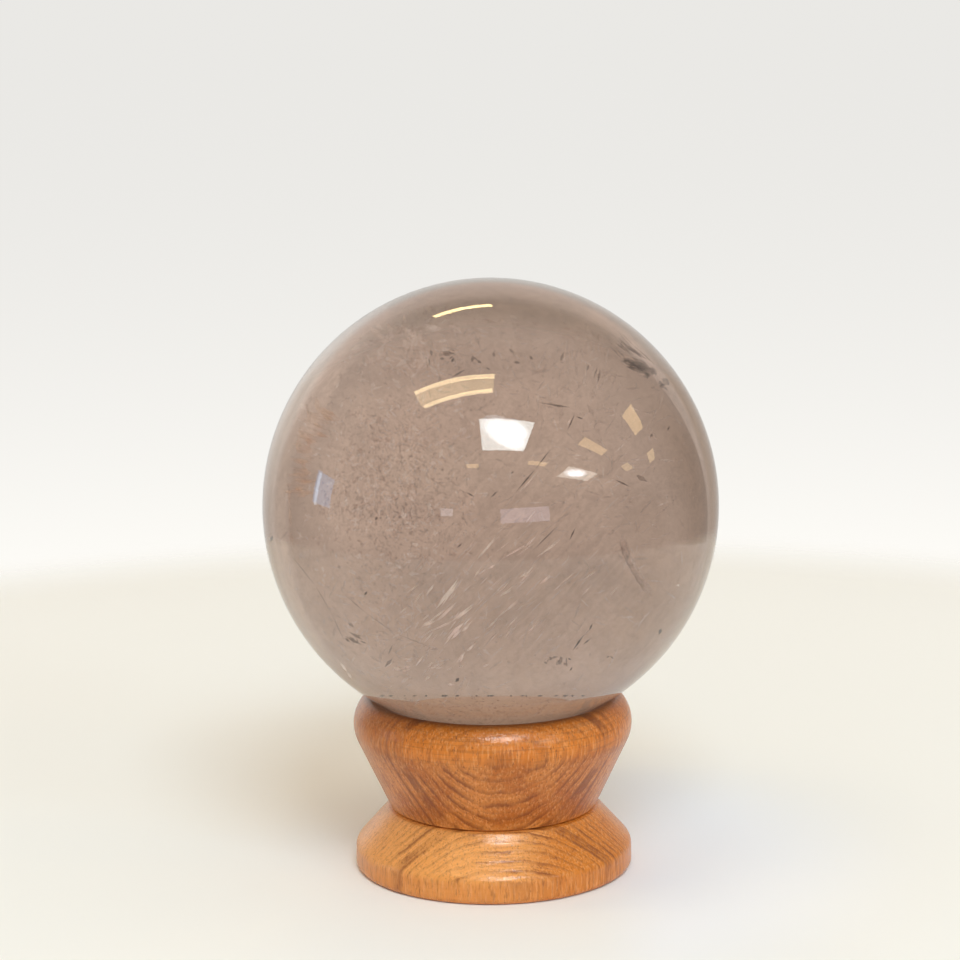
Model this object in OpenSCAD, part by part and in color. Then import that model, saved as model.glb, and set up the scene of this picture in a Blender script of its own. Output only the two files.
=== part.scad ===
// A polished smoky quartz sphere on its turned wooden stand.
// The origin is the middle of the stand's flat foot, on the surface it stands on. +Z is up.
// The stand is one spindle-turned piece: a flared foot, a neck with a scored line, and a cup
// whose rounded lip carries the sphere. The sphere lies in it by its own weight.

/* [Sphere] */
// Diameter of the polished sphere
sphere_d = 90; // [70:1:120]
// Space between the sphere and the lip that it lies on
seat_gap = 0.05; // [0.02:0.01:0.3]

/* [Cup] */
// Diameter of the cup at its widest
rim_d = 55.7; // [54:0.1:64]
// Height of the cup's widest point above the table
rim_h = 29.5; // [26:0.1:36]
// Radius of the big round shoulder between the cup's side and its lip
shoulder_r = 7.1; // [4:0.1:8]
// Distance from the cup's widest line in to the middle of the lip
lip_inset = 3.35; // [2.2:0.05:6]
// Radius of the small round on top of the lip
lip_r = 1.2; // [0.6:0.1:2]
// How much smaller the radius of the hollow under the sphere is than the sphere's own
dish_relief = 8; // [4:0.5:12]

/* [Neck] */
// Diameter of the cup's lower end, at the neck
neck_d = 41.7; // [36:0.1:46]
// Height of the scored line above the table
neck_h = 12.7; // [10:0.1:16]
// How far the foot stands out past the cup at the scored line
neck_step = 0.3; // [0.1:0.05:1]
// Width of the scored line
score_w = 0.7; // [0.4:0.1:1.2]
// Depth of the scored line
score_depth = 0.7; // [0.4:0.1:2]

/* [Foot] */
// Diameter of the foot at its widest
foot_d = 55.5; // [50:0.1:64]
// Height at which the foot's upright edge turns into its slope
foot_edge_h = 4; // [2.5:0.1:6]
// Radius of the round between the foot's edge and its slope
foot_round_r = 2.4; // [1.5:0.1:5]
// Radius of the round under the foot's edge
foot_under_r = 1.3; // [0.5:0.1:2]

/* [Hidden] */
$fn = 180;

quartz_colour = [0.64, 0.55, 0.49, 0.55];
wood_colour = [0.72, 0.43, 0.22];

sphere_r = sphere_d / 2;
dish_r = sphere_r - dish_relief;
rim_r = rim_d / 2;
neck_r = neck_d / 2;
foot_r = foot_d / 2;

// Centres of the arcs in the stand's section, as [distance from the axis, height].
shoulder_c = [rim_r - shoulder_r, rim_h];
foot_round_c = [foot_r - foot_round_r, foot_edge_h];
foot_under_c = [foot_r - foot_under_r, foot_under_r];
// The lip's round lies inside the shoulder's and touches it.
lip_c = [
    rim_r - lip_inset,
    rim_h + sqrt(pow(shoulder_r - lip_r, 2) - pow(shoulder_r - lip_inset, 2))
];
// The hollow touches the lip's round from the inside.
dish_c = [0, lip_c.y + sqrt(pow(dish_r + lip_r, 2) - pow(lip_c.x, 2))];
// The sphere lies on the lip's round.
sphere_c = [0, lip_c.y + sqrt(pow(sphere_r + lip_r + seat_gap, 2) - pow(lip_c.x, 2))];

// The scored line's two edges and its bottom.
score_low = [neck_r + neck_step, neck_h - score_w / 2];
score_tip = [neck_r - score_depth, neck_h];
score_high = [neck_r, neck_h + score_w / 2];

// The direction of a vector, in degrees.
function heading(v) = atan2(v.y, v.x);
// The point on a circle about c of radius r, in direction a.
function on_circle(c, r, a) = c + r * [cos(a), sin(a)];
// The direction from c in which a line from p touches the circle about c; side is 1 or -1.
function touch(p, c, r, side) = heading(p - c) + side * acos(r / norm(p - c));

// Where the foot's slope and the cup's side leave their rounds, and where the lip begins and ends.
foot_touch = touch(score_low, foot_round_c, foot_round_r, -1);
shoulder_touch = touch(score_high, shoulder_c, shoulder_r, 1);
lip_out = heading(lip_c - shoulder_c);
lip_in = heading(dish_c - lip_c);
dish_edge = on_circle(lip_c, lip_r, lip_in);

// A slice of the disc about c of radius r, from direction a to direction b, under half a turn.
module sector(c, r, a, b) {
    far = 2 * r;
    intersection() {
        translate(c) circle(r = r);
        polygon([c, on_circle(c, far, a), on_circle(c, far, (a + b) / 2), on_circle(c, far, b)]);
    }
}

// The stand's section to the right of its axis.
module stand_section() {
    difference() {
        union() {
            polygon([
                [0, 0],
                [foot_under_c.x, 0],
                foot_under_c,
                [foot_r, foot_under_c.y],
                [foot_r, foot_edge_h],
                foot_round_c,
                on_circle(foot_round_c, foot_round_r, foot_touch),
                score_low,
                score_tip,
                score_high,
                on_circle(shoulder_c, shoulder_r, shoulder_touch),
                on_circle(shoulder_c, shoulder_r, lip_out),
                lip_c,
                dish_edge,
                [0, dish_edge.y]
            ]);
            sector(foot_under_c, foot_under_r, -90, 0);
            sector(foot_round_c, foot_round_r, 0, foot_touch);
            sector(shoulder_c, shoulder_r, shoulder_touch, lip_out);
            sector(lip_c, lip_r, lip_out, lip_in);
        }
        translate(dish_c) circle(r = dish_r);
    }
}

module quartz_sphere() {
    color(quartz_colour)
        translate([0, 0, sphere_c.y])
            sphere(r = sphere_r);
}

module turned_stand() {
    color(wood_colour)
        rotate_extrude()
            stand_section();
}

quartz_sphere();
turned_stand();
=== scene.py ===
# %% [markdown]
# # A smoky quartz sphere on its turned stand
#
# The real object is two pieces: a ball of smoky quartz, ground and polished, and a small stand
# of reddish hardwood, turned on a lathe and lacquered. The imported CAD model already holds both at
# their real size, so it is loaded first and never changed. Everything after that is about looks:
# the clear stone with the flaws that grew in it, the grain of the wood, and the light.

# %% The frame that everything is fitted to
import math
import random

import bmesh
import bpy
from mathutils import Matrix, Quaternion, Vector


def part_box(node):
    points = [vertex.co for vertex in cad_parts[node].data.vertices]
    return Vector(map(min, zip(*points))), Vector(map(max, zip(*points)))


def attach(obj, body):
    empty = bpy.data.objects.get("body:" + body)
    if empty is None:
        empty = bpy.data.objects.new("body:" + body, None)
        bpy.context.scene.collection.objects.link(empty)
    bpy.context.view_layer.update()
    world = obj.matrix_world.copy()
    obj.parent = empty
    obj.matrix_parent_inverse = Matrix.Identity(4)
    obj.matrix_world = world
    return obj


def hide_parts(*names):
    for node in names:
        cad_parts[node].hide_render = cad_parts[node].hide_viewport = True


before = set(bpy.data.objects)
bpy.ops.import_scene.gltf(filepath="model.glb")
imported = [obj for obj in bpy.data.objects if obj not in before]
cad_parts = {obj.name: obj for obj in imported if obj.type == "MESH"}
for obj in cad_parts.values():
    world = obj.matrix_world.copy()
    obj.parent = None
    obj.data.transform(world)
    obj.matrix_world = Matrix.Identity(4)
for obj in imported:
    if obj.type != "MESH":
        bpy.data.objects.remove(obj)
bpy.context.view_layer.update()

ball_low, ball_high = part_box("quartz_sphere")
ball_radius = (ball_high.z - ball_low.z) / 2
ball_centre = Vector((0, 0, (ball_high.z + ball_low.z) / 2))
MM = 0.001
print(f"ball {2 * ball_radius / MM:.1f} mm across, its centre {ball_centre.z / MM:.1f} mm up")

# %% [markdown]
# ## The camera
#
# The camera stands a little above the ball and looks slightly down on it through a long lens, so
# the rim of the stand is seen as a thin ellipse. Its place is given from the middle of the ball,
# by a distance and a height angle, and it aims just beside that middle. The last turn, about the
# line of sight, is the small tilt of a camera held in the hand.

# %% The camera
camera_data = bpy.data.cameras.new("camera")
camera_data.lens = 108.2
camera_data.sensor_width = 36
camera_data.clip_start = 0.05
camera = bpy.data.objects.new("camera", camera_data)
bpy.context.scene.collection.objects.link(camera)
bpy.context.scene.camera = camera

camera_distance = 0.5703
camera_height_angle = math.radians(11.24)
camera_tilt = math.radians(-0.58)
aim_left, aim_above = 2.05 * MM, 5.1 * MM
to_camera = Vector((0, -math.cos(camera_height_angle), math.sin(camera_height_angle)))
view_right = Vector((1, 0, 0))
view_up = to_camera.cross(view_right)
aim = ball_centre - aim_left * view_right + aim_above * view_up

camera.location = ball_centre + camera_distance * to_camera
camera.rotation_mode = "QUATERNION"
camera.rotation_quaternion = (
    (aim - camera.location).to_track_quat("-Z", "Y") @ Quaternion((0, 0, 1), camera_tilt)
)
picture_right = camera.rotation_quaternion @ Vector((1, 0, 0))
picture_up = camera.rotation_quaternion @ Vector((0, 1, 0))
print("camera at", [round(c, 4) for c in camera.location])

# %% [markdown]
# ## Small helpers for shaders
#
# A shader is a graph of nodes. These helpers keep the graphs short to write. The first makes a
# node and sets its sockets, and the others use it for the sums, blends and smooth steps that every
# pattern here is built from.

# %% Helpers for nodes
def add_node(tree, kind, inputs=None, **settings):
    """Adds a node; each input is a value, or the output socket that feeds it."""
    node = tree.nodes.new(kind)
    for name, value in settings.items():
        setattr(node, name, value)
    for name, value in (inputs or {}).items():
        if isinstance(value, bpy.types.NodeSocket):
            tree.links.new(value, node.inputs[name])
        else:
            node.inputs[name].default_value = value
    return node


def math_node(tree, operation, *values):
    """A Math node, as its output socket."""
    node = add_node(tree, "ShaderNodeMath", dict(enumerate(values)), operation=operation)
    return node.outputs[0]


def colour_between(tree, factor, first, second):
    """A blend of two colours, as its output socket."""
    inputs = {"Factor": factor, 6: first, 7: second}
    return add_node(tree, "ShaderNodeMix", inputs, data_type="RGBA").outputs[2]


def rising(tree, value, start, end, low=0.0, high=1.0):
    """A smooth step from low to high while value goes from start to end."""
    inputs = {"Value": value, "From Min": start, "From Max": end, "To Min": low, "To Max": high}
    return add_node(tree, "ShaderNodeMapRange", inputs, interpolation_type="SMOOTHSTEP").outputs[0]


def product(tree, first, *others):
    """Several values multiplied together, as an output socket."""
    for value in others:
        first = math_node(tree, "MULTIPLY", first, value)
    return first


def between(tree, value, start, full, fall, end):
    """1 while value is between full and fall, with a smooth step down to 0 at start and at end."""
    return product(tree, rising(tree, value, start, full), rising(tree, value, end, fall))


# %% [markdown]
# A material starts with a Principled shader, which is the shader that other programs understand
# best. A piece starts as a bmesh, and becomes an object whose place is all in its mesh.

# %% Helpers for materials and pieces
def new_material(name, **principled):
    """A material with one Principled shader, and the material's node tree and that shader."""
    material = bpy.data.materials.new(name)
    material.use_nodes = True
    tree = material.node_tree
    shader = tree.nodes["Principled BSDF"]
    for socket, value in principled.items():
        shader.inputs[socket.replace("_", " ")].default_value = value
    return material, tree, shader


def link_mesh(name, shape, material, smooth=True):
    """Turns a finished bmesh into an object of the part, in the body called root."""
    mesh = bpy.data.meshes.new(name)
    shape.to_mesh(mesh)
    shape.free()
    mesh.polygons.foreach_set("use_smooth", [smooth] * len(mesh.polygons))
    mesh.materials.append(material)
    piece = bpy.data.objects.new(name, mesh)
    bpy.context.scene.collection.objects.link(piece)
    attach(piece, "root")
    print(f"{name}: {len(mesh.polygons)} faces")
    return piece


# %% [markdown]
# ## The quartz
#
# Smoky quartz is clear stone with a brown tint all the way through. Painting the surface brown
# would look like stained glass: in the real stone the tint deepens with the length of the path
# through it, so the middle is darker than the rim. That is what a Volume Absorption shader does.
# The surface is glass-like, with quartz's own index of refraction, and the ball works as a strong
# lens, so it shows what lies behind it upside down.

# %% The quartz's material
QUARTZ_INDEX = 1.544
quartz, quartz_tree, quartz_shader = new_material(
    "smoky_quartz", Base_Color=(1, 1, 1, 1), Roughness=0.0, IOR=QUARTZ_INDEX, Transmission_Weight=1.0
)
tint = add_node(
    quartz_tree, "ShaderNodeVolumeAbsorption", {"Color": (0.903, 0.870, 0.854, 1), "Density": 100.0}
)
quartz_tree.links.new(tint.outputs[0], quartz_tree.nodes["Material Output"].inputs["Volume"])
print("quartz bends light with an index of", QUARTZ_INDEX)

# %% [markdown]
# ## The ball
#
# A polished sphere has no edges and no poles, so it is an icosphere, whose small triangles are
# all about the same size. A lens shows every flat spot, so it gets many of them, and smooth
# shading between them.

# %% The ball
ball_shape = bmesh.new()
bmesh.ops.create_icosphere(
    ball_shape, subdivisions=7, radius=ball_radius, matrix=Matrix.Translation(ball_centre)
)
ball = link_mesh("polished_ball", ball_shape, quartz)
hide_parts("quartz_sphere")

# %% [markdown]
# ## The flaws in the stone
#
# Quartz grows with things inside it: dark mineral dust, thin needles, healed cracks that glitter.
# Each is modelled as real, closed geometry inside the ball, so it sits at its own depth, shifts
# against the others from view to view, and is bent and enlarged by the lens round it. The lens
# also moves each flaw away from where it seems to be. So a flaw is placed by where it shows on
# the ball's disc, and a line of sight is bent at the surface, as glass bends it, and followed
# inwards.

# %% Finding the place in the ball that shows at a place on its disc
def seen_at(across, up, depth):
    """The point that shows at (across, up) on the disc, in radii, at a share of the way through."""
    target = ball_centre + ball_radius * (across * picture_right + up * picture_up)
    towards = (target - camera.location).normalized()
    nearest = (ball_centre - camera.location).dot(towards)
    miss = (camera.location + nearest * towards - ball_centre).length
    half_chord = math.sqrt(max(ball_radius**2 - miss**2, 0))
    front = camera.location + (nearest - half_chord) * towards
    normal = (front - ball_centre).normalized()
    facing = -normal.dot(towards)
    inner = math.sqrt(1 - (1 - facing**2) / QUARTZ_INDEX**2)
    bent = towards / QUARTZ_INDEX + (facing / QUARTZ_INDEX - inner) * normal
    return front + depth * 2 * ball_radius * inner * bent


print("seen in the middle, at half depth:", [round(c / MM, 1) for c in seen_at(0, 0, 0.5)])

# %% [markdown]
# The finest dust and the faintest veils are too many to model one by one. They are a pattern in
# the colour of the stone's surface instead, which tints the light that passes. Growth lines run
# along the crystal's own direction, so the space of their noise is stretched along it.

# %% The directions of the crystal
stone_place = add_node(quartz_tree, "ShaderNodeTexCoord").outputs["Object"]
crystal_angle = math.radians(46)
crystal_axis = math.cos(crystal_angle) * picture_right + math.sin(crystal_angle) * picture_up
across_crystal = crystal_axis.cross(to_camera)
along_crystal = add_node(
    quartz_tree, "ShaderNodeCombineXYZ",
    {
        number: add_node(
            quartz_tree, "ShaderNodeVectorMath", {0: stone_place, 1: axis}, operation="DOT_PRODUCT"
        ).outputs["Value"]
        for number, axis in enumerate((0.09 * crystal_axis, across_crystal, 0.5 * to_camera))
    },
).outputs[0]
print("the crystal's axis:", [round(c, 2) for c in crystal_axis])

# %% [markdown]
# Two more helpers belong to the stone: a noise, and the nearness to a place on the ball's front,
# which lets a pattern fade out round it.

# %% Noise and nearness in the stone
def stone_noise(place, scale, detail=2.0, distortion=0.0):
    """A noise in the stone; scale is the number of its features in a metre."""
    inputs = {"Vector": place, "Scale": scale, "Detail": detail, "Distortion": distortion}
    return add_node(quartz_tree, "ShaderNodeTexNoise", inputs).outputs["Fac"]


def round_place(across, up, near, far):
    """1 close to a place on the front of the ball, fading to 0 between two distances from it."""
    inputs = {0: stone_place, 1: seen_at(across, up, 0)}
    away = add_node(quartz_tree, "ShaderNodeVectorMath", inputs, operation="DISTANCE").outputs["Value"]
    return rising(quartz_tree, away, far, near)


# %% [markdown]
# Each pattern is a share of darkness, and they are added up: soft clouds, tighter swirls, the
# growth lines in the lower middle, and a grain of dust. The dust thickens round one place at the
# left, and again at the bottom of the ball.

# %% Clouds, growth lines and fine dust in the stone
clouds = rising(quartz_tree, stone_noise(stone_place, 170, 3.0, 0.8), 0.38, 0.72, 0.0, 0.10)
swirls = rising(quartz_tree, stone_noise(stone_place, 480, 3.0, 2.0), 0.40, 0.70, 0.0, 0.09)
growth_lines = rising(quartz_tree, stone_noise(along_crystal, 800, 3.0, 0.3), 0.62, 0.40)
growth_lines = product(quartz_tree, growth_lines, round_place(0.15, -0.25, 0.008, 0.034))
grain = rising(quartz_tree, stone_noise(stone_place, 1050, 3.0, 1.2), 0.53, 0.64)
dustiness = math_node(quartz_tree, "MULTIPLY_ADD", round_place(-0.44, 0.06, 0.007, 0.022), 0.20, 0.07)
stone_height = add_node(quartz_tree, "ShaderNodeSeparateXYZ", {0: stone_place}).outputs[2]
low_down = rising(quartz_tree, stone_height, 0.043, 0.039, 0, 0.12)
dustiness = math_node(quartz_tree, "ADD", dustiness, low_down)
density = math_node(quartz_tree, "ADD", clouds, swirls)
density = math_node(quartz_tree, "MULTIPLY_ADD", growth_lines, 0.14, density)
density = math_node(quartz_tree, "MULTIPLY_ADD", grain, dustiness, density)
CLEAR_STONE, DARK_STONE = (1, 1, 1, 1), (0, 0, 0, 1)
stone_colour = colour_between(quartz_tree, density, CLEAR_STONE, DARK_STONE)
quartz_tree.links.new(stone_colour, quartz_shader.inputs["Base Color"])
print("the quartz material has", len(quartz_tree.nodes), "nodes")

# %% [markdown]
# A flake is a thin closed lozenge of eight faces. It is stretched between four places on the
# disc, two tips and two sides, so it looks the size that it is given, however strongly the ball
# enlarges that depth. A crack is a chain of flakes.

# %% Flakes and cracks
FLAKE_THICKNESS = 0.3
print("a flake is", FLAKE_THICKNESS, "times as thick on each side as it is wide")


def flake(shape, start, end, width, depth, belly=0.5, lean=0.0):
    """Adds a flake between two places on the disc; lean sets its end deeper than its start."""
    (x0, y0), (x1, y1) = start, end
    length = math.hypot(x1 - x0, y1 - y0)
    middle = (x0 + belly * (x1 - x0), y0 + belly * (y1 - y0))
    aside = ((y0 - y1) / length * width / 2, (x1 - x0) / length * width / 2)
    tips = [seen_at(x0, y0, depth), seen_at(x1, y1, depth + lean)]
    sides = [
        seen_at(middle[0] + sign * aside[0], middle[1] + sign * aside[1], depth + belly * lean)
        for sign in (1, -1)
    ]
    heart = (sides[0] + sides[1]) / 2
    half_thick = FLAKE_THICKNESS * (sides[0] - sides[1]).length * to_camera
    ring = [shape.verts.new(place) for place in (tips[0], sides[0], tips[1], sides[1])]
    for apex in (shape.verts.new(heart + half_thick), shape.verts.new(heart - half_thick)):
        for first, second in zip(ring, ring[1:] + ring[:1]):
            shape.faces.new((first, second, apex))


def crack(shape, places, width, depth):
    """Adds a chain of overlapping flakes along a line of places on the disc."""
    for start, end in zip(places, places[1:]):
        flake(shape, start, end, width, depth)


# %% [markdown]
# A drift is hundreds of small flakes, thrown round one place and all roughly along one direction.
# A particle system could scatter them too, but a loop with a fixed seed gives the same stone each
# time, and it leaves real geometry that any other program can read.

# %% Drifts, and the end of a set of flakes
DRIFT_LIMIT = 0.93


def drift(shape, count, centre, spread, depths, lengths, slant, fan=20, ratio=0.35):
    """Scatters flakes round a place; slant and fan, in degrees, are their direction and its spread."""
    made = 0
    while made < count:
        across = random.gauss(centre[0], spread[0])
        up = random.gauss(centre[1], spread[1])
        if math.hypot(across, up) > DRIFT_LIMIT:
            continue
        angle = math.radians(random.gauss(slant, fan))
        length = random.uniform(*lengths)
        step = (math.cos(angle) * length / 2, math.sin(angle) * length / 2)
        flake(
            shape, (across - step[0], up - step[1]), (across + step[0], up + step[1]),
            length * ratio * random.uniform(0.7, 1.4), random.uniform(*depths),
            random.uniform(0.3, 0.7), random.uniform(-0.02, 0.02),
        )
        made += 1


def finish_flaws(name, shape, material):
    """Makes one object of a set of flakes."""
    bmesh.ops.recalc_face_normals(shape, faces=shape.faces)
    piece = link_mesh(name, shape, material, smooth=False)


# %% [markdown]
# No two flakes in a stone are quite alike, so each material drifts between two colours with the
# place. The flakes are partly clear, and where they lie over each other they darken. Some glow
# very faintly: that glow is painted light, standing for the light that real films scatter from all round.

# %% Materials of the flaws
def flaw_material(name, first, second, scale, **principled):
    """A dull mineral whose colour changes from flake to flake between two colours."""
    material, tree, shader = new_material(name, Specular_IOR_Level=0.0, **principled)
    place = add_node(tree, "ShaderNodeTexCoord").outputs["Object"]
    cloud = add_node(tree, "ShaderNodeTexNoise", {"Vector": place, "Scale": scale, "Detail": 2.0})
    share = rising(tree, cloud.outputs["Fac"], 0.35, 0.65)
    tree.links.new(colour_between(tree, share, first, second), shader.inputs["Base Color"])
    return material


dark_mineral = flaw_material(
    "dark_mineral", (0.10, 0.06, 0.045, 1), (0.24, 0.16, 0.12, 1), 220, Alpha=0.55
)
# The dust's faint warm glow is painted light.
grey_dust = flaw_material(
    "grey_dust", (0.34, 0.20, 0.14, 1), (0.60, 0.43, 0.33, 1), 300, Alpha=0.125,
    Emission_Color=(1.0, 0.45, 0.25, 1), Emission_Strength=0.09
)
# The brown veil's faint glow is painted light.
brown_veil = flaw_material(
    "brown_veil", (0.50, 0.43, 0.38, 1), (0.98, 0.94, 0.91, 1), 160, Alpha=0.12,
    Emission_Color=(1.0, 0.55, 0.35, 1), Emission_Strength=0.08
)
# Painted light: a pale, glowing copy of the veil, for film that faces the light.
painted_lit_veil = flaw_material(
    "painted_lit_veil", (0.98, 0.90, 0.83, 1), (0.98, 0.86, 0.80, 1), 160, Alpha=0.13,
    Emission_Color=(1.0, 0.86, 0.78, 1), Emission_Strength=0.24
)
smoky_fleck = flaw_material(
    "smoky_fleck", (0.20, 0.13, 0.10, 1), (0.48, 0.37, 0.30, 1), 300, Alpha=0.32
)
# Painted glint: the crack's faint glow stands for light it would reflect.
healed_crack_painted_glint = flaw_material(
    "healed_crack_painted_glint", (0.97, 0.88, 0.80, 1), (0.98, 0.80, 0.74, 1), 200, Alpha=0.62,
    Emission_Color=(1.0, 0.84, 0.74, 1), Emission_Strength=0.15
)
# The rusty film's faint glow is painted light.
rusty_film = flaw_material(
    "rusty_film", (0.75, 0.40, 0.22, 1), (0.95, 0.66, 0.45, 1), 200, Alpha=0.14,
    Emission_Color=(1.0, 0.62, 0.38, 1), Emission_Strength=0.12
)
print("materials so far:", ", ".join(material.name for material in bpy.data.materials))

# %% [markdown]
# The dust is tiny mineral grains. It could be a cloud in the volume of the ball, but that has no
# grains and is slow to render, while small flakes leave the stone clear between them. Most of the
# dust lies left of the middle. The rest is thinner and spread through the whole stone. Low down
# the ball is seen through its own underside, and that band is dusty all over.

# %% Dust
random.seed(11)
dust = bmesh.new()
drift(dust, 480, (-0.44, 0.06), (0.17, 0.23), (0.15, 0.6), (0.012, 0.030), 115, fan=60, ratio=0.45)
drift(dust, 130, (-0.25, 0.10), (0.20, 0.25), (0.15, 0.6), (0.006, 0.014), 115, fan=60, ratio=0.65)
drift(dust, 110, (-0.15, 0.60), (0.28, 0.12), (0.15, 0.6), (0.008, 0.022), 150, fan=60, ratio=0.5)
drift(dust, 160, (0.0, 0.0), (0.50, 0.45), (0.15, 0.6), (0.007, 0.018), 60, fan=60, ratio=0.65)
drift(dust, 120, (-0.5, -0.50), (0.18, 0.18), (0.15, 0.6), (0.006, 0.018), 140, fan=60, ratio=0.5)
drift(dust, 70, (-0.30, 0.70), (0.13, 0.07), (0.1, 0.4), (0.008, 0.026), 130, fan=60, ratio=0.5)
for _ in range(150):
    across, up = random.uniform(-0.45, 0.45), random.uniform(-0.955, -0.845)
    if math.hypot(across, up) < 0.985:
        length = random.uniform(0.008, 0.020)
        end = (across + length, up + random.uniform(-0.4, 0.4) * length)
        flake(dust, (across, up), end, 0.007, 0.03)
finish_flaws("grey_dust", dust, grey_dust)

# %% [markdown]
# Between the grains hang softer brown wisps, which are films of bubbles too small to see. A long
# flake that is nearly clear looks like one and costs eight faces. The long curved veil at the
# right is a broad film with thin edges. Each of its layers is two chains of flakes that overlap
# by half a flake, so that the joints don't show.

# %% Wisps and the curved veil
wisps = bmesh.new()
drift(wisps, 400, (-0.42, 0.10), (0.20, 0.25), (0.1, 0.6), (0.015, 0.04), 120, fan=60, ratio=0.3)
drift(wisps, 200, (-0.05, 0.62), (0.36, 0.14), (0.1, 0.6), (0.02, 0.07), 160, fan=40, ratio=0.2)
drift(wisps, 120, (0.10, -0.35), (0.36, 0.26), (0.1, 0.6), (0.03, 0.12), 48, fan=12, ratio=0.1)
drift(wisps, 160, (0.5, 0.1), (0.22, 0.3), (0.1, 0.6), (0.02, 0.08), 160, fan=50, ratio=0.15)
drift(wisps, 160, (-0.45, -0.6), (0.2, 0.16), (0.1, 0.6), (0.02, 0.06), 130, fan=40, ratio=0.2)
drift(wisps, 110, (-0.32, 0.71), (0.13, 0.07), (0.1, 0.5), (0.02, 0.06), 130, fan=45, ratio=0.25)
drift(wisps, 70, (0.38, 0.60), (0.12, 0.09), (0.1, 0.5), (0.03, 0.08), 80, fan=25, ratio=0.18)
veil = [
    (0.574, -0.130), (0.581, -0.168), (0.591, -0.205), (0.607, -0.240),
    (0.630, -0.280), (0.655, -0.322), (0.681, -0.362), (0.710, -0.398),
]
for across, up, width in [
    (0.0, 0.0, 0.042), (0.0, 0.0, 0.034), (-0.010, -0.006, 0.014), (-0.011, -0.007, 0.010),
    (0.012, 0.007, 0.010),
]:
    for first in (0, 1):
        crack(wisps, [(x + across, y + up) for x, y in veil[first::2]], width, 0.4)
finish_flaws("brown_wisps", wisps, brown_veil)

# %% [markdown]
# Where films face the light they look pale instead, and here that is painted light: pale flakes
# that glow faintly stand for lit film, as a haze in the cloud of dust, and faint streaks along the
# crystal. They are flakes as well, in the same places as the dark ones, because pale and dark
# together give the cloud its depth.

# %% Pale haze, painted as lit film
haze = bmesh.new()
drift(haze, 330, (-0.42, 0.05), (0.20, 0.25), (0.1, 0.5), (0.02, 0.05), 120, fan=70, ratio=0.4)
drift(haze, 40, (0.05, -0.30), (0.30, 0.20), (0.1, 0.5), (0.04, 0.12), 46, fan=4, ratio=0.06)
drift(haze, 50, (-0.30, -0.60), (0.25, 0.16), (0.1, 0.5), (0.02, 0.05), 30, fan=40, ratio=0.25)
drift(haze, 60, (0.45, 0.0), (0.25, 0.35), (0.1, 0.5), (0.02, 0.07), 20, fan=50, ratio=0.12)
drift(haze, 40, (-0.40, 0.70), (0.12, 0.07), (0.1, 0.5), (0.03, 0.08), 130, fan=50, ratio=0.4)
finish_flaws("painted_lit_haze", haze, painted_lit_veil)

# %% [markdown]
# A healed crack is an old break that the quartz has closed again, and it glints where it faces the
# light. One wrinkled sheet would be closer to the truth, but only the glints are ever seen, so
# each glint is a flake, and the glint itself is painted light: the flake is pale and glows faintly.
# They lie near the front, most of them along the crystal, with the widest in the lower middle. A
# thinner twin lies beside each, so that none is a plain lozenge.

# %% Pale healed cracks
pale = bmesh.new()
for start, end, width, depth, belly in [
    ((-0.237, -0.451), (-0.138, -0.314), 0.026, 0.10, 0.35),
    ((-0.278, -0.381), (-0.248, -0.344), 0.012, 0.12, 0.5),
    ((-0.300, -0.530), (-0.241, -0.491), 0.020, 0.14, 0.3),
    ((-0.241, -0.508), (-0.149, -0.423), 0.014, 0.12, 0.6),
    ((-0.265, -0.550), (-0.165, -0.505), 0.010, 0.16, 0.6),
    ((-0.170, -0.508), (-0.075, -0.430), 0.018, 0.12, 0.4),
    ((-0.195, -0.590), (-0.120, -0.515), 0.034, 0.10, 0.6),
    ((-0.130, -0.555), (-0.090, -0.517), 0.013, 0.12, 0.5),
    ((-0.150, -0.690), (-0.114, -0.645), 0.020, 0.15, 0.6),
    ((-0.105, -0.640), (-0.072, -0.605), 0.013, 0.15, 0.4),
    ((0.045, -0.395), (0.094, -0.360), 0.012, 0.20, 0.3),
    ((0.063, -0.465), (0.124, -0.410), 0.012, 0.20, 0.3),
    ((0.129, -0.314), (0.161, -0.294), 0.010, 0.20, 0.4),
    ((0.218, -0.344), (0.262, -0.303), 0.012, 0.20, 0.4),
    ((-0.011, -0.276), (0.019, -0.259), 0.010, 0.20, 0.5),
    ((-0.061, -0.237), (0.028, -0.129), 0.012, 0.15, 0.4),
    ((0.048, -0.233), (0.177, -0.157), 0.009, 0.18, 0.5),
    ((0.199, -0.228), (0.306, -0.150), 0.009, 0.18, 0.5),
    ((0.334, 0.350), (0.352, 0.384), 0.009, 0.20, 0.5),
    ((0.125, 0.055), (0.210, 0.155), 0.007, 0.20, 0.5),
    ((0.815, -0.352), (0.832, -0.346), 0.010, 0.05, 0.5),
]:
    flake(pale, start, end, 0.6 * width, depth, belly)
    twin_start = (start[0] + 0.65 * width, start[1] + 0.10 * width)
    twin_end = (end[0] - 0.15 * width, end[1] - 0.75 * width)
    flake(pale, twin_start, twin_end, 0.35 * width, depth, 1 - belly)
random.seed(5)
drift(pale, 34, (-0.17, -0.52), (0.12, 0.14), (0.12, 0.3), (0.03, 0.07), 48, fan=7, ratio=0.09)
drift(pale, 26, (0.12, -0.33), (0.18, 0.14), (0.15, 0.35), (0.03, 0.09), 42, fan=6, ratio=0.06)
drift(pale, 16, (-0.28, -0.72), (0.10, 0.03), (0.1, 0.3), (0.015, 0.04), 10, fan=25, ratio=0.3)
crack(pale, [(-0.66, -0.69), (-0.63, -0.73), (-0.61, -0.76)], 0.012, 0.1)
finish_flaws("pale_cracks", pale, healed_crack_painted_glint)

# %% [markdown]
# Needles and rods are long dark crystals that grew inside the quartz, and short ones look like
# grains. Each is only a few tenths of a millimetre wide, so one flake is enough for it. A row of
# grains hangs along the line where the ball is seen through its own lower edge.

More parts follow.
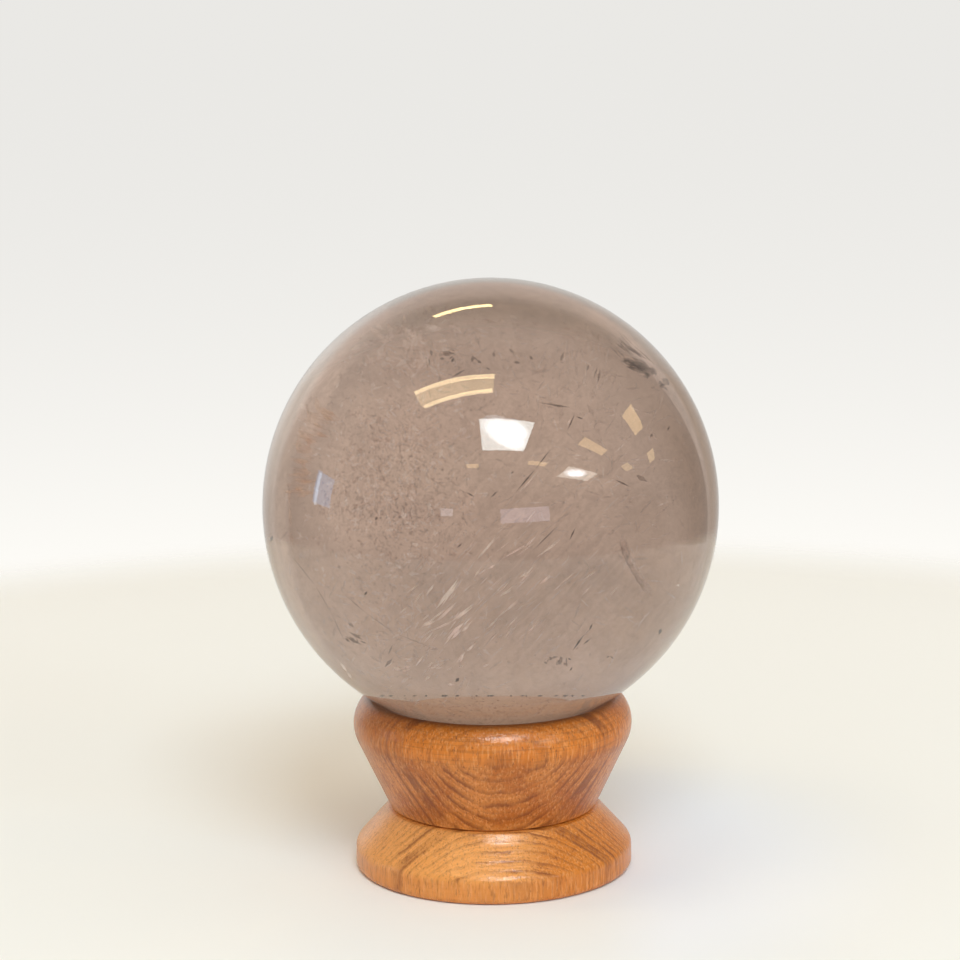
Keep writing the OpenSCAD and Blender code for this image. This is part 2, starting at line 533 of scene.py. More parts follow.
# %% Needles and rods
needles = bmesh.new()
for start, end, width, depth in [
    ((0.112, 0.061), (0.199, 0.163), 0.010, 0.25), ((0.197, 0.160), (0.266, 0.253), 0.007, 0.27),
    ((-0.002, 0.034), (0.032, 0.065), 0.008, 0.3), ((-0.106, 0.059), (-0.071, 0.038), 0.010, 0.3),
    ((0.346, -0.152), (0.373, -0.095), 0.010, 0.3), ((-0.147, -0.185), (-0.125, -0.164), 0.010, 0.3),
    ((0.087, 0.139), (0.102, 0.152), 0.010, 0.3), ((0.185, -0.198), (0.299, -0.084), 0.006, 0.5),
    ((0.336, 0.327), (0.373, 0.410), 0.008, 0.3), ((0.375, 0.391), (0.407, 0.381), 0.010, 0.3),
    ((0.546, 0.115), (0.614, 0.082), 0.010, 0.4), ((0.360, -0.637), (0.411, -0.565), 0.013, 0.3),
    ((0.406, -0.609), (0.439, -0.584), 0.010, 0.3), ((0.432, -0.549), (0.448, -0.516), 0.012, 0.3),
    ((0.507, -0.670), (0.523, -0.658), 0.007, 0.4), ((0.522, -0.657), (0.544, -0.677), 0.007, 0.4),
    ((0.347, -0.727), (0.360, -0.707), 0.010, 0.3), ((0.738, -0.566), (0.751, -0.538), 0.022, 0.3),
    ((-0.172, 0.628), (-0.160, 0.652), 0.018, 0.3), ((-0.555, -0.395), (-0.541, -0.375), 0.016, 0.3),
    ((-0.966, -0.160), (-0.958, -0.130), 0.018, 0.3), ((-0.506, -0.066), (-0.498, -0.046), 0.018, 0.3),
    ((-0.155, -0.775), (-0.138, -0.755), 0.022, 0.3), ((0.775, 0.330), (0.788, 0.350), 0.012, 0.3),
    ((0.596, 0.636), (0.640, 0.622), 0.012, 0.1), ((0.622, 0.622), (0.690, 0.590), 0.020, 0.1),
    ((0.640, 0.604), (0.676, 0.588), 0.012, 0.1), ((0.676, 0.590), (0.700, 0.566), 0.012, 0.1),
    ((0.571, 0.635), (0.620, 0.638), 0.014, 0.1), ((0.594, 0.610), (0.640, 0.606), 0.014, 0.1),
]:
    flake(needles, start, end, 0.7 * width, depth)
random.seed(17)
for number in range(19):
    across = -0.49 + 0.05 * number + random.uniform(-0.025, 0.025)
    length = random.uniform(0.006, 0.03)
    flake(needles, (across, -0.836), (across + length, -0.834), random.uniform(0.005, 0.011), 0.03)
finish_flaws("dark_needles", needles, dark_mineral)

# %% [markdown]
# Smoky flecks are flatter and half clear. Single ones are spread through the stone, and two small
# groups hang low at the left and at the right.

# %% Smoky flecks
flecks = bmesh.new()
for start, end, width in [
    ((-0.640, -0.572), (-0.566, -0.612), 0.014), ((-0.628, -0.510), (-0.600, -0.535), 0.014),
    ((-0.625, -0.552), (-0.560, -0.590), 0.012), ((-0.466, -0.710), (-0.430, -0.670), 0.016),
    ((-0.450, -0.655), (-0.430, -0.610), 0.009), ((0.287, -0.700), (0.306, -0.680), 0.018),
    ((0.320, -0.690), (0.333, -0.700), 0.014), ((0.306, 0.630), (0.322, 0.676), 0.014),
    ((0.470, 0.540), (0.482, 0.600), 0.012), ((0.452, 0.560), (0.470, 0.610), 0.008),
    ((0.422, 0.590), (0.432, 0.620), 0.012), ((0.080, 0.690), (0.104, 0.670), 0.014),
    ((-0.060, 0.640), (-0.040, 0.625), 0.014), ((-0.220, 0.680), (-0.150, 0.665), 0.014),
    ((0.170, 0.660), (0.186, 0.640), 0.014), ((0.212, 0.454), (0.352, 0.430), 0.008),
    ((0.270, 0.440), (0.330, 0.437), 0.010), ((0.638, 0.135), (0.687, 0.105), 0.024),
    ((0.700, 0.300), (0.713, 0.315), 0.014), ((-0.175, 0.560), (-0.110, 0.600), 0.010),
]:
    flake(flecks, start, end, width, 0.2)
print("single flecks:", len(flecks.faces) // 8)
random.seed(23)
drift(flecks, 9, (-0.600, -0.590), (0.018, 0.008), (0.1, 0.2), (0.02, 0.04), 150, fan=20, ratio=0.25)
drift(flecks, 12, (0.300, -0.690), (0.03, 0.012), (0.1, 0.2), (0.012, 0.03), 120, fan=40, ratio=0.4)

# %% [markdown]
# The most striking flaw is a feathery cluster near the surface at the upper right: a broad flake
# with spikes at one end, rings of film beyond it, and fine streaks above it along the edge of the
# ball. It joins the other flecks. Two hair-thin cracks cross the lower left.

# %% The feathery cluster
for start, end, width in [
    ((0.570, 0.648), (0.636, 0.636), 0.012), ((0.582, 0.632), (0.640, 0.612), 0.016),
    ((0.592, 0.612), (0.650, 0.598), 0.012),
    ((0.612, 0.640), (0.706, 0.572), 0.050), ((0.622, 0.652), (0.710, 0.590), 0.034),
    ((0.678, 0.586), (0.690, 0.556), 0.020), ((0.684, 0.580), (0.690, 0.558), 0.014),
    ((0.708, 0.612), (0.728, 0.572), 0.026), ((0.752, 0.560), (0.786, 0.530), 0.034),
    ((0.556, 0.770), (0.612, 0.700), 0.008), ((0.612, 0.700), (0.688, 0.640), 0.012),
    ((0.568, 0.768), (0.626, 0.704), 0.006), ((0.626, 0.704), (0.700, 0.642), 0.008),
    ((0.560, 0.742), (0.602, 0.700), 0.008), ((0.602, 0.700), (0.660, 0.660), 0.012),
    ((0.655, 0.680), (0.722, 0.618), 0.008),
]:
    flake(flecks, start, end, width, 0.10)
drift(flecks, 10, (0.625, 0.622), (0.018, 0.010), (0.08, 0.14), (0.02, 0.05), 165, fan=14, ratio=0.16)
drift(flecks, 6, (0.716, 0.590), (0.014, 0.014), (0.08, 0.14), (0.02, 0.03), 130, fan=25, ratio=0.35)
drift(flecks, 16, (0.630, 0.690), (0.034, 0.012), (0.08, 0.14), (0.04, 0.09), 138, fan=5, ratio=0.08)
drift(flecks, 6, (0.772, 0.545), (0.014, 0.016), (0.08, 0.14), (0.02, 0.04), 130, fan=25, ratio=0.35)
drift(flecks, 14, (-0.10, 0.65), (0.16, 0.03), (0.1, 0.3), (0.015, 0.035), 130, fan=50, ratio=0.4)
crack(flecks, [(-0.878, -0.215), (-0.77, -0.35), (-0.70, -0.47), (-0.640, -0.60)], 0.004, 0.3)
crack(flecks, [(-0.64, -0.39), (-0.55, -0.47), (-0.42, -0.56), (-0.24, -0.63)], 0.004, 0.3)
finish_flaws("smoky_flecks", flecks, smoky_fleck)

# %% [markdown]
# Along the left edge a crack that iron has stained shows rusty hairlines, all pointing to the
# middle. They are flakes again, set in an arc a little inside the edge of the disc.

# %% The rusty hairlines
random.seed(3)
rust = bmesh.new()
stain_radius = 0.90
for _ in range(70):
    up = random.uniform(0.04, 0.44)
    across = -math.sqrt(stain_radius**2 - up**2) + random.uniform(-0.02, 0.07)
    length = random.uniform(0.04, 0.08)
    rise = (0.05 - 1.2 * up + random.uniform(-0.15, 0.15)) * length
    flake(rust, (across, up), (across + length, up + rise), 0.013, random.uniform(0.06, 0.15))
drift(rust, 8, (-0.80, 0.30), (0.02, 0.06), (0.06, 0.15), (0.05, 0.09), 115, fan=15, ratio=0.3)
crack(rust, [(-0.885, 0.08), (-0.882, 0.0), (-0.878, -0.1), (-0.872, -0.19)], 0.012, 0.12)
finish_flaws("rusty_hairlines", rust, rusty_film)

# %% [markdown]
# ## The wood
#
# The stand is a small turning in reddish hardwood, under a thin clear lacquer. Its form is all in
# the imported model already, so its own mesh is shown, and only gets a material.
#
# A flat picture of wood wrapped round it would smear on every slope. Real grain fills the block,
# and the lathe only cuts it open. So the material is worked out from the place in space, in
# millimetres. The helper stretches a noise by another length along each axis, because fibres
# are long along the trunk and thin across it.

# %% The wood's material
wood, wood_tree, wood_shader = new_material(
    "lacquered_wood", Roughness=0.5, Specular_IOR_Level=0.15, Coat_Weight=0.6, Coat_Roughness=0.14
)
local = add_node(wood_tree, "ShaderNodeTexCoord").outputs["Object"]
in_mm = add_node(wood_tree, "ShaderNodeVectorMath", {0: local, 1: (1000, 1000, 1000)}, operation="MULTIPLY")
in_mm = in_mm.outputs[0]


def wood_noise(stretch, detail=3.0, roughness=0.55):
    """A noise in the wood, about as fine along each axis as stretch says, in millimetres."""
    shares = [1 / length for length in stretch]
    squeezed = add_node(wood_tree, "ShaderNodeVectorMath", {0: in_mm, 1: shares}, operation="MULTIPLY")
    inputs = {"Vector": squeezed.outputs[0], "Scale": 1.0, "Detail": detail, "Roughness": roughness}
    return add_node(wood_tree, "ShaderNodeTexNoise", inputs).outputs["Fac"]


print("wood material:", wood.name)

# %% [markdown]
# The growth rings of a thick trunk are nearly flat layers here, and face the front. Slow noise
# bends them, and wherever a cone cuts through them they show as the nested arches that a turned
# bowl has. Each ring darkens slowly and ends at a sharp line, where one year's growth stopped.

# %% Growth rings
across_rings = add_node(
    wood_tree, "ShaderNodeVectorMath", {0: in_mm, 1: (-0.10, 0.993, 0.02)}, operation="DOT_PRODUCT"
).outputs["Value"]
fibres = wood_noise((0.40, 0.40, 3.0))
ring_place = math_node(wood_tree, "MULTIPLY_ADD", wood_noise((28, 28, 70), 2.0), 3.0, across_rings)
ring_place = math_node(wood_tree, "MULTIPLY_ADD", wood_noise((5, 5, 12), 2.0), 1.1, ring_place)
ring_place = math_node(wood_tree, "MULTIPLY_ADD", fibres, 0.3, ring_place)


def ring_lines(spacing, start, end, offset=0.0):
    """Dark late wood: it darkens slowly across a ring and ends at a sharp line."""
    turns = math_node(wood_tree, "ADD", math_node(wood_tree, "DIVIDE", ring_place, spacing), offset)
    phase = math_node(wood_tree, "FRACT", turns)
    return between(wood_tree, phase, start, end, end, 1.0)


broken = rising(wood_tree, wood_noise((5, 5, 9), 3.0), 0.35, 0.65, 0.25, 1.0)
facing_front = rising(wood_tree, across_rings, -6, -18, 0.35, 1.0)
fine_lines = product(wood_tree, ring_lines(0.55, 0.2, 0.7), 0.35)
bold_lines = ring_lines(1.45, 0.45, 0.88, 0.1)
lines = math_node(wood_tree, "MAXIMUM", fine_lines, bold_lines)
lines = product(wood_tree, lines, broken, facing_front)
dark_year = between(wood_tree, ring_place, -17.0, -16.0, -15.3, -14.9)
next_year = between(wood_tree, ring_place, -14.1, -13.6, -13.1, -12.8)
dark_year = math_node(wood_tree, "MULTIPLY_ADD", next_year, 0.45, dark_year)
dark_year = product(wood_tree, dark_year, broken)
print("bold rings 1.45 mm apart, fine ones 0.55 mm")

# %% [markdown]
# Between the rings the wood has its own fine texture: long fibres, some pale and some dark, short
# dark pores, and patches of deeper colour. The place on the stand, sideways and upwards, says
# later where each of them is strong.

# %% Fibres, pores and patches
pale_fibres = rising(wood_tree, fibres, 0.45, 0.70)
dark_fibres = rising(wood_tree, wood_noise((0.55, 0.55, 3.2), 3.0, 0.65), 0.50, 0.72)
pores = rising(wood_tree, wood_noise((0.28, 0.28, 1.6), 2.0), 0.60, 0.70)
patches = rising(wood_tree, wood_noise((9, 9, 9), 3.0, 0.6), 0.35, 0.65)
split = add_node(wood_tree, "ShaderNodeSeparateXYZ", {0: in_mm})
sideways, tall = split.outputs[0], split.outputs[2]
print("the wood material has", len(wood_tree.nodes), "nodes so far")

# %% [markdown]
# The colour is laid on in the order in which a wood finisher sees it, and first comes a patchy
# ground. It is paler on the foot, and that paleness is painted light, for the light that falls on the
# foot's upward slope from above and through the ball. It is deeper at the foot's right side and
# along its lower edge, and redder on the rim.

# %% The ground colour of the wood
LIGHT_WOOD, DEEP_WOOD = (0.61, 0.205, 0.040, 1), (0.44, 0.115, 0.012, 1)
LIT_FOOT_PAINTED, FOOT_SIDE = (0.83, 0.34, 0.075, 1), (0.66, 0.195, 0.012, 1)
RIM_WOOD, EDGE_WOOD = (0.72, 0.195, 0.010, 1), (0.62, 0.20, 0.035, 1)
colour = colour_between(wood_tree, patches, LIGHT_WOOD, DEEP_WOOD)
on_foot = rising(wood_tree, tall, 15, 11)
# Painted light: the foot is paler except at its right side, for the light on its upward slope.
painted_light_foot_share = product(wood_tree, rising(wood_tree, sideways, 4, 15, 0.85, 0), on_foot)
colour = colour_between(wood_tree, painted_light_foot_share, colour, LIT_FOOT_PAINTED)
foot_side = product(wood_tree, on_foot, rising(wood_tree, sideways, 5, 16, 0, 0.8))
colour = colour_between(wood_tree, foot_side, colour, FOOT_SIDE)
colour = colour_between(wood_tree, rising(wood_tree, tall, 5.5, 3.5, 0.0, 0.6), colour, EDGE_WOOD)
colour = colour_between(wood_tree, rising(wood_tree, tall, 27, 30, 0.0, 0.6), colour, RIM_WOOD)
print("the foot's colour starts below 15 mm, the rim's above 27 mm")

# %% [markdown]
# Over the ground come pale fibres, dark late wood and pores. The late wood is fainter on the rim
# and on the foot's edge, and on the foot it is bold only to the right of the middle.

# %% Fibres, late wood and pores laid on
LATE_WOOD, PORE, PALE_FIBRE = (0.20, 0.045, 0.006, 1), (0.18, 0.045, 0.008, 1), (0.82, 0.38, 0.13, 1)
dark_year = product(wood_tree, dark_year, rising(wood_tree, tall, 8, 14, 0.48, 0.75))
on_right = math_node(
    wood_tree, "MAXIMUM", rising(wood_tree, tall, 11, 13.5), rising(wood_tree, sideways, -2, 7, 0.65, 1.1)
)
lines = product(
    wood_tree, lines, rising(wood_tree, tall, 29, 26, 0.35, 0.85),
    rising(wood_tree, tall, 3.5, 6.5, 0.35, 1.0), on_right,
)
darkness = math_node(wood_tree, "ADD", dark_year, lines)
darkness = math_node(wood_tree, "MULTIPLY_ADD", dark_fibres, 0.46, darkness)
darkness = math_node(wood_tree, "MINIMUM", darkness, 0.8)
colour = colour_between(wood_tree, product(wood_tree, pale_fibres, 0.43), colour, PALE_FIBRE)
colour = colour_between(wood_tree, darkness, colour, LATE_WOOD)
pores = product(wood_tree, pores, rising(wood_tree, tall, 6, 14, 0.35, 0.7))
colour = colour_between(wood_tree, pores, colour, PORE)
print("the wood material has", len(wood_tree.nodes), "nodes so far")

# %% [markdown]
# Last come painted shade and the marks of the tool. A painted shadow darkens the crease where the ball
# lies, painted shade makes the left of the rim a little darker, and the turning tool has left fine marks
# round the rim.

# %% Painted shade by the ball and at the left, and marks of the tool
# One dark colour serves the painted shade and the tool marks.
TOOL_MARK_AND_SHADE = (0.10, 0.030, 0.008, 1)
flattened = add_node(wood_tree, "ShaderNodeVectorMath", {0: in_mm, 1: (1, 1, 0)}, operation="MULTIPLY")
from_axis = add_node(wood_tree, "ShaderNodeVectorMath", {0: flattened.outputs[0]}, operation="LENGTH")
from_axis = from_axis.outputs["Value"]
# Painted shadow: the wood is darkened where the ball meets the lip, as the shade of their contact.
painted_contact_shadow = product(wood_tree, rising(wood_tree, from_axis, 26.3, 24.9), rising(wood_tree, tall, 30.5, 32.5))
# Painted shade: the left of the rim is darker, for the side that the light reaches less.
painted_shade_left_rim = rising(wood_tree, sideways, -14, -24, 0, 0.22)
painted_shade_left_rim = product(wood_tree, painted_shade_left_rim, rising(wood_tree, tall, 22, 30))
tool_marks = rising(wood_tree, wood_noise((12, 12, 0.45), 2.0), 0.50, 0.68)
tool_marks = product(wood_tree, tool_marks, rising(wood_tree, tall, 26, 29, 0.0, 0.25))
# Painted shade and real tool marks are added up here.
marks_and_shade = math_node(wood_tree, "MULTIPLY_ADD", painted_contact_shadow, 0.6, painted_shade_left_rim)
marks_and_shade = math_node(wood_tree, "MAXIMUM", marks_and_shade, tool_marks)
colour = colour_between(wood_tree, marks_and_shade, colour, TOOL_MARK_AND_SHADE)
wood_tree.links.new(colour, wood_shader.inputs["Base Color"])
print("the wood material has", len(wood_tree.nodes), "nodes")

# %% [markdown]
# Lacquer fills the grain only partly. Under it run the fine grooves of the turning tool, and
# across them the open fibres, and at the waist the tool has left a small cove, which catches the
# light. A bump does all three, since none of them is deeper than a fifth of a millimetre. The
# lacquer is the Principled shader's coat, much smoother than the wood below it.

# %% The relief under the lacquer
grooves = wood_noise((7, 7, 0.7), 3.0)
cove = rising(wood_tree, tall, 10.4, 12.7, 0.0, 2.5)
relief = math_node(wood_tree, "MULTIPLY_ADD", fibres, 0.5, grooves)
relief = math_node(wood_tree, "ADD", relief, cove)
lacquer_waves = add_node(
    wood_tree, "ShaderNodeBump", {"Strength": 0.6, "Distance": 0.0002, "Height": relief}
)
for socket in ("Normal", "Coat Normal"):
    wood_tree.links.new(lacquer_waves.outputs[0], wood_shader.inputs[socket])

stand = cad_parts["turned_stand"]
stand.data.materials.clear()
stand.data.materials.append(wood)
print("stand", [round(c, 4) for c in stand.dimensions])

# %% [markdown]
# ## The surface it stands on
#
# The stand rests on pale paper that runs back out of sight. A flat disc does for that, as long as
# its far edge never shows: the disc turns clear between two distances from the middle, where the
# world behind it has the same colour. Rays that have passed through the ball meet the clear part
# sooner, because the strong lens would otherwise show them the far edge upside down.

# %% The floor
FLOOR_RADIUS = 0.6
floor_shape = bmesh.new()
bmesh.ops.create_circle(floor_shape, cap_ends=True, segments=128, radius=FLOOR_RADIUS)
floor_mesh = bpy.data.meshes.new("floor")
floor_shape.to_mesh(floor_mesh)
floor_shape.free()
floor = bpy.data.objects.new("floor", floor_mesh)
bpy.context.scene.collection.objects.link(floor)
sheet, sheet_tree, sheet_shader = new_material("floor_sheet", Roughness=0.9, Specular_IOR_Level=0.1)
floor_mesh.materials.append(sheet)
print(f"floor: a disc {2 * FLOOR_RADIUS:.1f} m across")

# %% [markdown]
# The paper grows a little paler with distance. Near the stand on the right it is painted cooler:
# a painted light tint for the blue of the sky that reaches the shade there.

# %% The colour of the paper and its clear edge
place = add_node(sheet_tree, "ShaderNodeTexCoord").outputs["Object"]
reach = add_node(sheet_tree, "ShaderNodeVectorMath", {0: place}, operation="LENGTH").outputs["Value"]
NEAR_SHEET, FAR_SHEET = (0.884, 0.843, 0.754, 1), (0.913, 0.871, 0.783, 1)
PAINTED_SKY_TINT = (0.90, 0.88, 0.84, 1)
sheet_colour = colour_between(sheet_tree, rising(sheet_tree, reach, 0.10, 0.25), NEAR_SHEET, FAR_SHEET)
to_right = add_node(sheet_tree, "ShaderNodeSeparateXYZ", {0: place}).outputs[0]
near_stand = rising(sheet_tree, reach, 0.09, 0.05)
# Painted light: a cool tint on the paper right of the stand, for skylight in the shade there.
painted_sky_tint_share = product(sheet_tree, rising(sheet_tree, to_right, 0.015, 0.036), near_stand)
sheet_colour = colour_between(sheet_tree, painted_sky_tint_share, sheet_colour, PAINTED_SKY_TINT)
sheet_tree.links.new(sheet_colour, sheet_shader.inputs["Base Color"])

sheet_rays = add_node(sheet_tree, "ShaderNodeLightPath").outputs
far_edge = rising(sheet_tree, reach, 0.27, 0.33)
near_edge = rising(sheet_tree, reach, 0.085, 0.12)
edge = add_node(
    sheet_tree, "ShaderNodeMix", {0: sheet_rays["Is Transmission Ray"], 2: far_edge, 3: near_edge}
).outputs[0]
clear = add_node(sheet_tree, "ShaderNodeBsdfTransparent")
fade = add_node(
    sheet_tree, "ShaderNodeMixShader", {0: edge, 1: sheet_shader.outputs[0], 2: clear.outputs[0]}
)
sheet_tree.links.new(fade.outputs[0], sheet_tree.nodes["Material Output"].inputs["Surface"])
print("the paper's material has", len(sheet_tree.nodes), "nodes")

# %% [markdown]
# ## The room round it
#
# A polished ball shows little of its own: it shows the room. A ray can reach the world in three
# ways, and the Light Path node tells them apart. Past the ball it meets the plain background.
# Through the ball, bent and turned upside down, it meets the room behind: a wall, a shaded
# ledge on each side, and a bright end. In the polish it meets the dimmer room in front.
# The room could be modelled, but only its small bent picture is ever seen, so it is painted on
# the world: directions are worked out as an azimuth and a height, in degrees, and each thing in
# the room is a smooth step in those two angles.

# %% The world and its directions
world = bpy.data.worlds.new("room")
bpy.context.scene.world = world
world.use_nodes = True
sky = world.node_tree
rays = add_node(sky, "ShaderNodeLightPath").outputs
direction = add_node(sky, "ShaderNodeTexCoord").outputs["Generated"]
axes = add_node(sky, "ShaderNodeSeparateXYZ", {0: direction}).outputs
azimuth = math_node(sky, "DEGREES", math_node(sky, "ARCTAN2", axes[0], axes[1]))
off_middle = math_node(sky, "ABSOLUTE", azimuth)
height = math_node(sky, "DEGREES", math_node(sky, "ARCSINE", axes[2]))
print("azimuth 0 is straight back along +Y and grows towards +X; height 0 is level")

# %% [markdown]
# The plain background is pale, and a little darker towards the top.

# %% The plain background
PAPER_LOW, PAPER_HIGH = (0.990, 0.972, 0.928, 1), (0.823, 0.812, 0.785, 1)
slope = math_node(sky, "DIVIDE", math_node(sky, "ADD", axes[2], 0.21), 0.18)
slope = add_node(sky, "ShaderNodeClamp", {"Value": slope}).outputs[0]
paleness = math_node(sky, "POWER", math_node(sky, "SUBTRACT", 1.0, slope), 2.2)
paper = colour_between(sky, paleness, PAPER_HIGH, PAPER_LOW)
print("the background is palest at a height of", round(math.degrees(math.asin(-0.21))), "degrees")

# %% [markdown]
# In the room, two ledges throw a shade over what is below them. The left one is deep and ends in
# an upright curve, and the right one is weaker. A faint shade covers both ends of the wall, and
# all of it stops where the bright end of the room begins.

# %% The shades in the room
height_squared = math_node(sky, "POWER", math_node(sky, "ABSOLUTE", height), 2.0)
left_end = math_node(sky, "MULTIPLY_ADD", height_squared, 0.0075, -64.0)
from_left_end = math_node(sky, "SUBTRACT", azimuth, left_end)
left_shade = product(
    sky, between(sky, from_left_end, -0.8, 0.8, 4, 34), rising(sky, height, -36, -16, 0.55, 1)
)
right_shade = product(sky, rising(sky, azimuth, 38, 50, 0, 0.45), rising(sky, height, -24, -12))
ledge = math_node(sky, "MULTIPLY_ADD", off_middle, 0.18, -7.0)
ledge = math_node(sky, "ADD", ledge, rising(sky, azimuth, 15, 40, 0, 3.4))
below = rising(sky, math_node(sky, "SUBTRACT", height, ledge), 0.6, -0.6)
shade = product(sky, math_node(sky, "ADD", left_shade, right_shade), below)
from_middle = math_node(sky, "ABSOLUTE", math_node(sky, "SUBTRACT", azimuth, 6.0))
ends_shade = product(sky, rising(sky, from_middle, 24, 42, 0, 0.25), between(sky, height, -16, -8, 26, 34))
shade = math_node(sky, "MAXIMUM", shade, ends_shade)
shade = product(sky, shade, rising(sky, azimuth, 54, 49))
print("the world has", len(sky.nodes), "nodes so far")

# %% [markdown]
# The wall's own colours go on one over another: the bright end and the sides, then a lit belt
# with a brighter strip in it, a lit corner, the front of the room, the darker wall high up, and
# last the shades.

# %% The wall behind the ball
WALL, HIGH_WALL, SHADE = (0.93, 0.86, 0.75, 1), (0.74, 0.62, 0.48, 1), (0.56, 0.46, 0.345, 1)
BRIGHT_END, SIDES, FRONT = (1.0, 0.92, 0.78, 1), (0.68, 0.54, 0.37, 1), (1.1, 1.08, 1.04, 1)
LIT_BELT, LIT_STRIP = (1.09, 1.01, 0.88, 1), (1.15, 1.08, 0.94, 1)
LIT_CORNER = (1.14, 1.05, 0.91, 1)
lit_belt = product(sky, between(sky, height, -37, -30, -6, 1), between(sky, azimuth, -32, -10, 30, 42))
lit_strip = product(sky, between(sky, height, -24, -19, -15, -11), rising(sky, off_middle, 26, 14))
lit_corner = product(sky, between(sky, azimuth, 41, 47, 60, 66), rising(sky, height, -18, -27))
room = colour_between(sky, rising(sky, azimuth, 52.5, 54), WALL, BRIGHT_END)
for amount, layer in [
    (rising(sky, off_middle, 64, 70), SIDES), (lit_belt, LIT_BELT), (lit_strip, LIT_STRIP),
    (lit_corner, LIT_CORNER), (rising(sky, axes[1], 0.10, -0.45), FRONT),
    (rising(sky, height, 26, 45), HIGH_WALL), (shade, SHADE),
]:
    room = colour_between(sky, amount, room, layer)
print("the world has", len(sky.nodes), "nodes so far")

# %% [markdown]
# The polish mirrors the bright background where it is seen at a flat angle, near the outline, and
# a dimmer room elsewhere. Rough surfaces get one even ambient colour. The last step picks the
# answer for each kind of ray.

# %% What the polish mirrors
AMBIENT = (0.575, 0.565, 0.565, 1)
MIRRORED_ROOM, MIRRORED_LOW, MIRRORED_HIGH = (0.45, 0.44, 0.43, 1), (0.78, 0.76, 0.73, 1), (1, 0.98, 0.93, 1)
MIRRORED_LEFT, MIRRORED_RIGHT, MIRRORED_TOP = (1.3, 1.27, 1.2, 1), (0.62, 0.58, 0.53, 1), (1.2, 1.0, 0.88, 1)
mirrored = colour_between(sky, rising(sky, height, -4, 12), MIRRORED_LOW, MIRRORED_HIGH)
mirrored = colour_between(sky, rising(sky, axes[0], 0.05, 0.5), mirrored, MIRRORED_RIGHT)
mirrored_left = product(sky, rising(sky, axes[0], -0.1, -0.4), rising(sky, height, -14, 4))
mirrored = colour_between(sky, mirrored_left, mirrored, MIRRORED_LEFT)
mirrored = colour_between(sky, rising(sky, height, 12, 22), mirrored, MIRRORED_TOP)
mirrored = colour_between(sky, rising(sky, axes[1], 0.68, 0.82), MIRRORED_ROOM, mirrored)
lit = colour_between(sky, rays["Is Glossy Ray"], AMBIENT, mirrored)
lit = colour_between(sky, rays["Is Transmission Ray"], lit, room)
seen = colour_between(sky, rays["Is Camera Ray"], lit, paper)
sky.links.new(seen, sky.nodes["Background"].inputs["Color"])
print("the world has", len(sky.nodes), "nodes")

# %% [markdown]
# ## The lamps
#
# The highlights on the ball are small pictures of the lamps, so each lamp is a flat sheet whose
# size and place follow from its highlight. Its strength is given as a radiance, which is what a
# highlight shows, and is turned into watts by the lamp's area.

# %% A lamp that is a sheet of light
CEILING = 1.5
def lamp_sheet(name, centre, size, radiance, facing=(0, 0, -1), turn=0, shape="RECTANGLE"):
    """A flat lamp; centre and size are shares of the ceiling's height above the ball."""
    data = bpy.data.lights.new(name, "AREA")
    data.shape = shape
    data.size = size[0] * CEILING
    data.size_y = size[1] * CEILING
    strongest = max(radiance)
    data.color = [share / strongest for share in radiance]
    area = data.size * data.size_y * (math.pi / 4 if shape == "ELLIPSE" else 1)
    data.energy = strongest * math.pi * area
    lamp = bpy.data.objects.new(name, data)
    bpy.context.scene.collection.objects.link(lamp)
    lamp.location = ball_centre + CEILING * Vector(centre)
    lamp.rotation_mode = "QUATERNION"
    lamp.rotation_quaternion = Vector(facing).to_track_quat("-Z", "Y") @ Quaternion((0, 0, 1), turn)
    lamp.visible_camera = False
    lamp.visible_transmission = False
    return lamp


print(f"the ceiling is {CEILING} m above the ball's centre")

# %% [markdown]
# On the ceiling are two skylights, a pair of tubes in a trough, a third tube further off, and six
# recessed panels. The windows stand low, at the left and behind the viewer.

# %% The lamps
DAYLIGHT = (9.7, 12.8, 16.0)
TUBE, TUBE_FAR = (11.4, 8.7, 4.7), (13.4, 10.6, 4.9)
DOWNLIGHT, DOWNLIGHT_NEAR = (3.5, 2.5, 1.25), (4.5, 3.05, 1.4)
lamp_sheet("skylight_near", (0.18, -0.99, 1), (0.56, 0.56), DAYLIGHT).visible_glossy = False
lamp_sheet("skylight_right", (1.90, -1.70, 1), (0.86, 0.48), DAYLIGHT).visible_glossy = False
lamp_sheet("tube_back", (-0.290, -0.231, 1), (0.66, 0.048), TUBE)
lamp_sheet("tube_front", (-0.285, -0.413, 1), (0.62, 0.045), TUBE, turn=math.radians(4.5))
lamp_sheet("tube_far", (-0.155, 0.778, 1), (0.35, 0.075), TUBE_FAR, turn=math.radians(11))
for number, (x, y, length, width, radiance) in enumerate([
    (1.78, 0.19, 0.62, 0.32, DOWNLIGHT_NEAR), (1.50, -0.80, 0.65, 0.19, DOWNLIGHT_NEAR),
    (3.48, 0.28, 0.80, 0.32, DOWNLIGHT), (3.08, -0.74, 0.56, 0.27, DOWNLIGHT),
    (0.77, -1.56, 0.34, 0.13, DOWNLIGHT_NEAR), (-0.29, -1.69, 0.20, 0.13, DOWNLIGHT_NEAR),
]):
    lamp_sheet(f"downlight_{number + 1}", (x, y, 1), (length, width), radiance)
lamp_sheet("window_left", (-1.5, 0.06, 0.15), (0.34, 0.28), (0.1, 1.0, 2.1), (1, 0, 0))
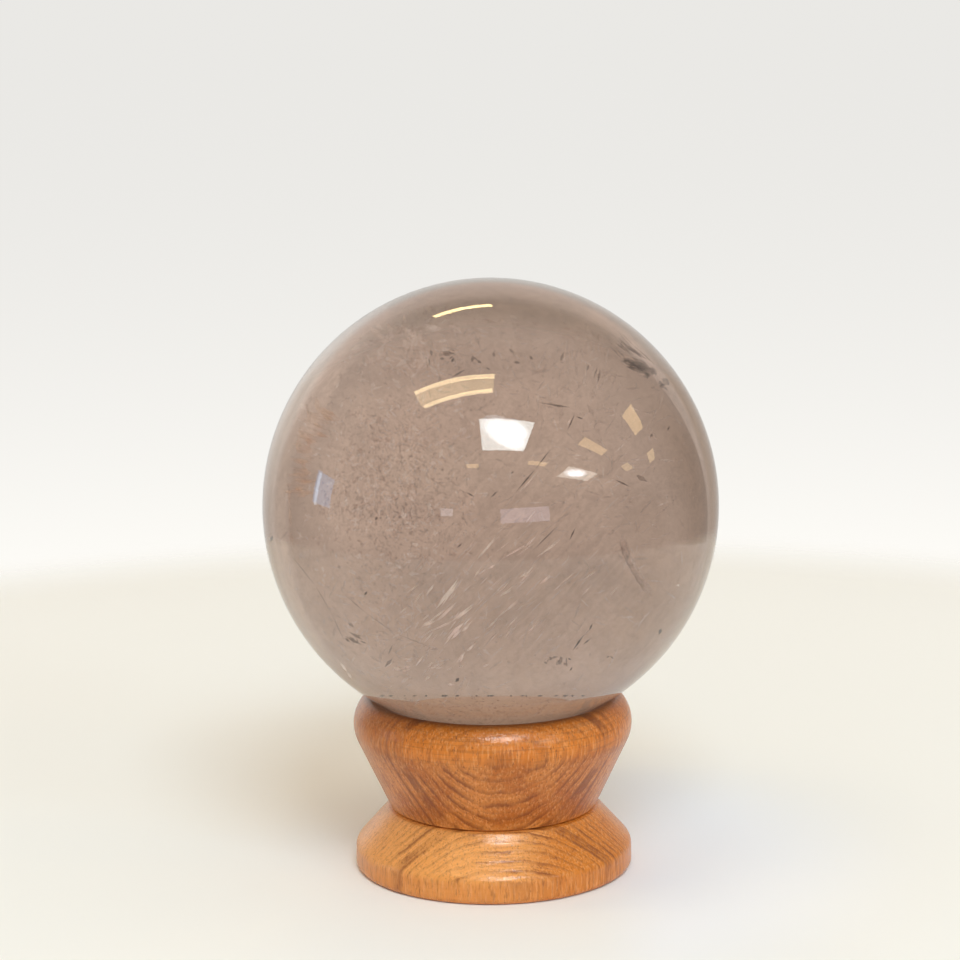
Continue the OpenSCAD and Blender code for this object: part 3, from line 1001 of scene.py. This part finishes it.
lamp_sheet("window_left_edge", (-1.48, 0.165, 0.13), (0.055, 0.28), (2.4, 3.0, 3.6), (1, 0, 0))
lamp_sheet("window_behind", (0.42, -1.4, 0.16), (0.62, 0.18), (2.1, 1.85, 2.3), (-0.3, 1, 0))
lamp_sheet("window_behind_left", (-0.55, -1.4, 0.20), (0.16, 0.10), (3.0, 2.8, 3.0), (0.3, 1, 0))
print("lamps so far:", len(bpy.data.lights))

# %% [markdown]
# The skylights light the scene as even sheets, but their mirror images are not even: each pane
# has a hot part where the sun stands behind it. So the even sheets are hidden from the polish,
# and sheets that only the polish sees take their place. A hot part is a few nested ellipses, each
# a little nearer than the last, so that it fades out in steps. The trough of the tubes glows too.

# %% Sheets that only the polish sees
HOT_STEPS = 5
for name, centre, size, radiance, turn in [
    ("pane_near", (0.174, -0.988, 0.985), (0.55, 0.54), (8.7, 9.7, 9.6), 0),
    ("pane_right", (1.87, -1.71, 0.985), (0.98, 0.48), (5.2, 4.9, 4.3), 0),
    ("tube_trough", (-0.288, -0.322, 0.985), (0.64, 0.15), (3.8, 2.8, 1.3), 0.03),
]:
    lamp_sheet(name, centre, size, radiance, turn=turn).visible_diffuse = False
for name, (x, y), (length, width), radiance, turn in [
    ("pane_near_sun", (0.187, -0.955), (0.74, 0.38), (2.4, 2.6, 2.8), -0.84),
    ("pane_near_core", (0.266, -0.886), (0.44, 0.30), (2.4, 2.6, 2.8), -0.84),
    ("pane_right_sun", (1.73, -1.67), (0.70, 0.40), (2.3, 2.6, 2.9), 0),
]:
    for step in range(HOT_STEPS):
        share, level = 0.96 - 0.11 * step, 0.980 - 0.003 * step
        hot = lamp_sheet(
            f"{name}_{step + 1}", (x, y, level), (length * share, width * share), radiance,
            turn=turn, shape="ELLIPSE",
        )
        hot.visible_diffuse = False
print("lamps:", len(bpy.data.lights))

# %% [markdown]
# ## The end
#
# The view is left on the Standard transform, so colours come out as they were set.

# %% Finish
bpy.context.scene.view_settings.view_transform = "Standard"
